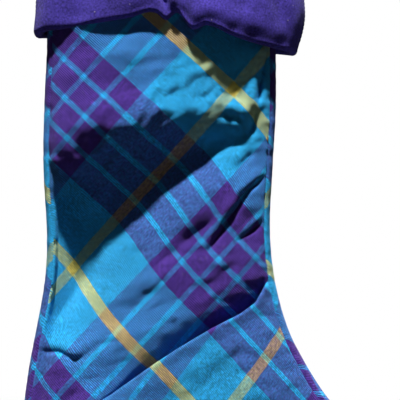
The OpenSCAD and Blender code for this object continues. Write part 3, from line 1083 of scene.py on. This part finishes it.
class GIFTSACK_OT_tartan(bpy.types.Operator):
    """Makes the front and back panels of tartan, with their folds"""
    bl_idname = "giftsack.tartan"
    bl_label = "Tartan panels"

    def execute(self, context):
        sizes = context.scene.gift_sack_sizes
        for name, maker, node_name in (("tartan_front", front_cloth, "front_panel"),
                                       ("tartan_back", back_cloth, "back_panel")):
            points, flat = maker(sizes)
            panel = grid_piece(name, points, flat)
            thicken(panel, sizes.cloth_thickness / MM)
            finish_piece(panel, "sack", "tartan_cloth", material("tartan_cloth"), node_name)
        return {"FINISHED"}


class GIFTSACK_OT_lining(bpy.types.Operator):
    """Makes the lining, a smaller sack that follows the folds"""
    bl_idname = "giftsack.lining"
    bl_label = "Lining"

    def execute(self, context):
        sizes = context.scene.gift_sack_sizes
        turn = np.arange(181) * 2.0
        station = np.linspace(0, LAST_STATION + 0.96, 190)[:, None] + np.zeros(turn.shape)
        turns = np.broadcast_to(turn, station.shape)
        base = smooth_surface(station, turns, sizes.lining_gap / MM)
        x, z = base[..., 0], base[..., 2]
        rise = np.sin(np.radians(turns))
        front = smooth_step(rise, 0.05, 0.45)
        back = smooth_step(-rise, 0.05, 0.6)
        toe_fade = 1 - smooth_step(station, LAST_STATION + 0.1, LAST_STATION + 0.7)
        tuck_room = 9.0 * np.exp(-((z - ankle_edge_z(x) + 2) / 16) ** 2)
        forward = front * (np.minimum(front_height(x, z, sizes), 2) - tuck_room) * toe_fade
        backward = back * np.minimum(back_height(x, z), 1) * toe_fade
        y = base[..., 1] - forward + backward
        y = np.where(rise > 0.03, -kept_forward(-y, 0.3 - hollow_room(turns), 1.2), y)
        points = np.stack([x, y, z], -1)
        flat = np.stack([np.broadcast_to(turn * 1.2, station.shape), z], -1)
        lining = grid_piece("lining", points[::-1, :-1], flat[::-1], wrap_columns=True)
        finish_piece(lining, "sack", "lining_cloth", material("lining_cloth"), "front_lining", "back_lining")
        return {"FINISHED"}


class GIFTSACK_OT_cuff(bpy.types.Operator):
    """Makes the turned-down cuff with its soft hem and tucks"""
    bl_idname = "giftsack.cuff"
    bl_label = "Cuff"

    def execute(self, context):
        points, flat = cuff_surface(context.scene.gift_sack_sizes)
        cuff = grid_piece("cuff", points, flat, wrap_rows=True, wrap_columns=True)
        finish_piece(cuff, "sack", "cuff_cloth", material("cuff_cloth"), "cuff_front", "cuff_back")
        return {"FINISHED"}


class GIFTSACK_OT_strap(bpy.types.Operator):
    """Makes the hanging strap with its eye, its top stitching and the bar tack that holds its ends"""
    bl_idname = "giftsack.strap"
    bl_label = "Hanging strap"

    def execute(self, context):
        sizes = context.scene.gift_sack_sizes
        path = strap_path()
        along, out = path_frame(path)
        section = strap_section()
        place = np.stack([
            path[:, None, 0] + out[:, None, 0] * section[None, :, 1],
            np.broadcast_to(section[None, :, 0], (len(path), len(section))),
            path[:, None, 1] + out[:, None, 1] * section[None, :, 1]], -1)
        place = bow_tails(place)
        run = length_along(path)
        across = np.concatenate([section[:, 0], section[:1, 0]])
        flat = np.stack(np.broadcast_arrays(across[None, :], run[:, None]), -1)
        centred = place - np.array([MOUTH_X, 0, MOUTH_Z])
        strap = grid_piece("hanging_strap", centred, flat, wrap_columns=True)
        finish_piece(strap, None, "strap_cloth", material("strap_cloth"), "hanging_loop", "loop_tails")
        self.bend(strap)

        step = sizes.stitch_length / MM * 1.3
        marks = np.arange(6, run[-1] - 6, step)
        centre = at_lengths(marks, run, path)
        way = at_lengths(marks, run, along)
        outward = np.stack([-way[:, 1], way[:, 0]], -1)
        rows = []
        for face in (1, -1):
            for side in (1, -1):
                shift = outward * face * (STRAP_THICK / 2 - 0.12)
                y = np.full(len(marks), side * (STRAP_WIDE / 2 - STRAP_EDGE))
                rows.append((np.stack([centre[:, 0] + shift[:, 0], y, centre[:, 1] + shift[:, 1]], -1),
                             np.stack([way[:, 0], 0 * y, way[:, 1]], -1),
                             np.stack([outward[:, 0] * face, 0 * y, outward[:, 1] * face], -1)))
        centres, ways, outs = joined(rows)
        thread = stitches_piece("strap_thread", bow_tails(centres), ways, outs, sizes.stitch_length / MM, 0.2)
        finish_piece(thread, None, "light_thread", material("light_thread"), "loop_edge_stitches")
        self.bend(thread)

        tack_low, tack_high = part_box("loop_bar_tack")
        y = np.linspace(-1, 1, 15) * (STRAP_WIDE / 2 - 1.1)
        heights = [tack_high.z / MM - 0.4, tack_low.z / MM + 0.4]
        tack = np.array([[STRAP_THICK + 0.05, one_y, height] for height in heights for one_y in y])
        lean = np.tile([[0.0, 0.25, 1.0]], (len(tack), 1))
        face_out = np.tile([[1.0, 0, 0]], (len(tack), 1))
        bar = stitches_piece("bar_tack", bow_tails(tack), lean, face_out, 2.2, 0.27)
        finish_piece(bar, "sack", "light_thread", material("light_thread"), "loop_bar_tack")
        return {"FINISHED"}

    def bend(self, piece):
        """Moves the piece's placement into its mesh."""
        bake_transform(piece)


class GIFTSACK_OT_stitching(bpy.types.Operator):
    """Makes the seam threads of the sides, the lining, the mouth and the cuff's ends"""
    bl_idname = "giftsack.stitching"
    bl_label = "Stitching"

    def execute(self, context):
        sizes = context.scene.gift_sack_sizes
        length = sizes.stitch_length / MM
        self.side_seams(length)
        self.lining_seams(length)
        self.mouth(length)
        self.cuff_ends(length)
        return {"FINISHED"}

    def seam_line(self, turn, pitch, inset):
        """Even places along a seam, the way along it and the way out."""
        station = np.linspace(0.2, LAST_STATION + 0.9, 900)
        line = smooth_surface(station, np.full(station.shape, turn), inset)
        run = length_along(line)
        place = at_lengths(np.arange(2, run[-1] - 2, pitch), run, line)
        way = np.gradient(place, axis=0)
        out = np.broadcast_to(section_outward(np.array([turn]))[0], place.shape)
        return place, way, out

    def side_seams(self, length):
        """Threads that cross the valley between the two tartan panels."""
        parts = [self.seam_line(turn, length * 1.25, 1.15) for turn in (SEAM_TURN, 180 - SEAM_TURN)]
        place, way, out = joined(parts)
        across = np.cross(way, out) + 0.35 * way
        piece = stitches_piece("side_seam_thread", from_mouth(place), across, out, 1.5, 0.16)
        finish_piece(piece, "sack", "dark_thread", material("dark_thread"), "side_seam_stitches")

    def lining_seams(self, length):
        """Threads along the lining's two seams, on the side that shows in the mouth."""
        parts = [self.seam_line(turn, length * 1.6, 2.9) for turn in (0.0, 180.0)]
        place, way, out = joined(parts)
        piece = stitches_piece("lining_seam_thread", from_mouth(place), way, out, length, 0.2)
        finish_piece(piece, "sack", "lining_thread", material("dark_thread"), "lining_seam_stitches")

    def mouth(self, length):
        """A row of top stitching round the inside of the mouth."""
        angle = np.radians(np.arange(0, 360, 2.6) + 1.3)
        rise = np.sin(angle)
        half_width, half_depth = OUTLINE[0, 2] - 4.95, OUTLINE[0, 4] - 4.95
        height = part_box("mouth_stitches")[0].z / MM - MOUTH_Z
        place = np.stack([-np.cos(angle) * half_width, -np.sign(rise) * np.abs(rise) ** FULLNESS * half_depth,
                          np.full(angle.shape, height)], -1)
        way = np.roll(place, -1, 0) - np.roll(place, 1, 0)
        out = np.stack([np.cos(angle), np.sin(angle), 0 * angle], -1)
        piece = stitches_piece("mouth_thread", from_mouth(place), way, out, length, 0.22)
        finish_piece(piece, "sack", "cuff_thread", material("light_thread"), "mouth_stitches")

    def cuff_ends(self, length):
        """Threads down the two ends of the cuff, where its front and back halves meet."""
        points, _ = cuff_surface(bpy.context.scene.gift_sack_sizes)
        columns = slice(20, 60)
        parts = []
        for row, side in ((0, -1), (len(points) // 2, 1)):
            line = points[row, columns]
            run = length_along(line)
            place = at_lengths(np.arange(3, run[-1], length * 1.3), run, line)
            way = np.gradient(place, axis=0)
            out = np.tile([[side, 0.0, 0.0]], (len(place), 1))
            parts.append((place + out * 0.04, way, out))
        place, way, out = joined(parts)
        piece = stitches_piece("cuff_seam_thread", from_mouth(place), way, out, length, 0.17)
        finish_piece(piece, "sack", "cuff_thread", material("dark_thread"), "cuff_seam_stitches")


class GIFTSACK_OT_stage(bpy.types.Operator):
    """Makes the floor, the lights, the sky and the camera"""
    bl_idname = "giftsack.stage"
    bl_label = "Stage"

    def execute(self, context):
        scene = context.scene
        scene.view_settings.view_transform = "Standard"
        self.floor()
        self.world(scene)
        self.sun("key", 6.8, 70, -4, 4.0)
        self.sun("back", 4.0, 48, 165, 12.0)
        self.camera(scene)
        return {"FINISHED"}

    def floor(self):
        """A pale floor a hand's width under the toe."""
        level = CAD_BOX[0][2] - 0.08
        ring = np.linspace(0, 2 * math.pi, 65)[:-1]
        rows = np.array([0.02, 0.5, 1.0, 1.35])[:, None]
        place = np.stack([MOUTH_X * MM + rows * np.cos(ring), rows * np.sin(ring), level + 0 * rows * ring],
                         -1)
        i = np.arange(3)[:, None] * 64
        j = np.arange(64)[None, :]
        j_next = (j + 1) % 64
        quads = np.stack([i + j, i + 64 + j, i + 64 + j_next, i + j_next], -1).reshape(-1, 4)
        floor = place_piece("floor", quad_mesh("floor", place.reshape(-1, 3), quads))
        made, tree, shader = new_material("pale floor", {"Roughness": 0.9})
        grain = noise(tree, object_place(tree), 30, 2)
        feed(shader.inputs["Base Color"],
             colour_mix(tree, grain, (0.74, 0.73, 0.72, 1), (0.80, 0.79, 0.78, 1)))
        # The floor throws little light back up, as if it stood in the shade of a flag.
        dark = node(tree, "ShaderNodeBsdfDiffuse", {"Color": (0.04, 0.04, 0.04, 1)})
        output = next(n for n in tree.nodes if n.type == "OUTPUT_MATERIAL")
        feed(output.inputs["Surface"], self.seen_or_lighting(tree, shader, dark))
        floor.data.materials.append(made)

    def seen_or_lighting(self, tree, seen, lighting):
        """One shader where the camera looks straight at it, and another for the light it gives off."""
        path = node(tree, "ShaderNodeLightPath")
        inputs = {0: path.outputs["Is Camera Ray"], 1: lighting.outputs[0], 2: seen.outputs[0]}
        return node(tree, "ShaderNodeMixShader", inputs).outputs[0]

    def world(self, scene):
        """White where it is seen, and a dim even light."""
        world = bpy.data.worlds.new("studio")
        world.use_nodes = True
        tree = world.node_tree
        tree.nodes.clear()
        seen = node(tree, "ShaderNodeBackground", {"Color": (1, 1, 1, 1)})
        light = node(tree, "ShaderNodeBackground", {"Color": (0.86, 0.92, 1.0, 1), "Strength": 0.04})
        node(tree, "ShaderNodeOutputWorld", {"Surface": self.seen_or_lighting(tree, seen, light)})
        scene.world = world

    def sun(self, name, strength, elevation, side, spread):
        """A distant lamp: elevation above level, and how far to the side of straight in front, in degrees."""
        lamp = bpy.data.lights.new(name, "SUN")
        lamp.energy = strength
        lamp.angle = math.radians(spread)
        lamp.color = (1.0, 0.985, 0.96)
        holder = bpy.data.objects.new(name, lamp)
        bpy.context.scene.collection.objects.link(holder)
        holder.rotation_euler = (math.radians(90 - elevation), 0, math.radians(side))

    def camera(self, scene):
        """Level and square to the front, framing the cuff's lower part, the leg and the ankle."""
        distance, framed = 2.4, 0.300
        lens = bpy.data.cameras.new("camera")
        lens.sensor_width = 36
        lens.lens = 36 * distance / framed
        holder = bpy.data.objects.new("camera", lens)
        scene.collection.objects.link(holder)
        holder.location = ((MOUTH_X + 29.25) * MM, -distance, (MOUTH_Z - 210) * MM)
        holder.rotation_euler = (math.radians(90), 0, 0)
        scene.camera = holder


class GIFTSACK_PT_panel(bpy.types.Panel):
    """Lists the pieces of the gift sack"""
    bl_idname = "GIFTSACK_PT_panel"
    bl_label = "Gift sack"
    bl_space_type = "VIEW_3D"
    bl_region_type = "UI"
    bl_category = "Gift sack"

    def draw(self, context):
        layout = self.layout
        for group in (context.scene.gift_sack_sizes, context.scene.gift_sack_colours):
            for key in group.bl_rna.properties.keys():
                if key not in ("rna_type", "name"):
                    layout.prop(group, key)
        for operator in OPERATORS:
            layout.operator(operator.bl_idname)


OPERATORS = (GIFTSACK_OT_tartan, GIFTSACK_OT_lining, GIFTSACK_OT_cuff, GIFTSACK_OT_strap,
             GIFTSACK_OT_stitching,
             GIFTSACK_OT_stage)
CLASSES = (GiftSackSizes, GiftSackColours, *OPERATORS, GIFTSACK_PT_panel)


def register():
    for made in CLASSES:
        bpy.utils.register_class(made)
    bpy.types.Scene.gift_sack_sizes = PointerProperty(type=GiftSackSizes)
    bpy.types.Scene.gift_sack_colours = PointerProperty(type=GiftSackColours)


def unregister():
    del bpy.types.Scene.gift_sack_colours
    del bpy.types.Scene.gift_sack_sizes
    for made in reversed(CLASSES):
        bpy.utils.unregister_class(made)


def main():
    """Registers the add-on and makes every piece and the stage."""
    register()
    bpy.ops.giftsack.tartan()
    bpy.ops.giftsack.lining()
    bpy.ops.giftsack.cuff()
    bpy.ops.giftsack.strap()
    bpy.ops.giftsack.stitching()
    bpy.ops.giftsack.stage()
    bpy.context.view_layer.update()


if __name__ == "__main__":
    main()
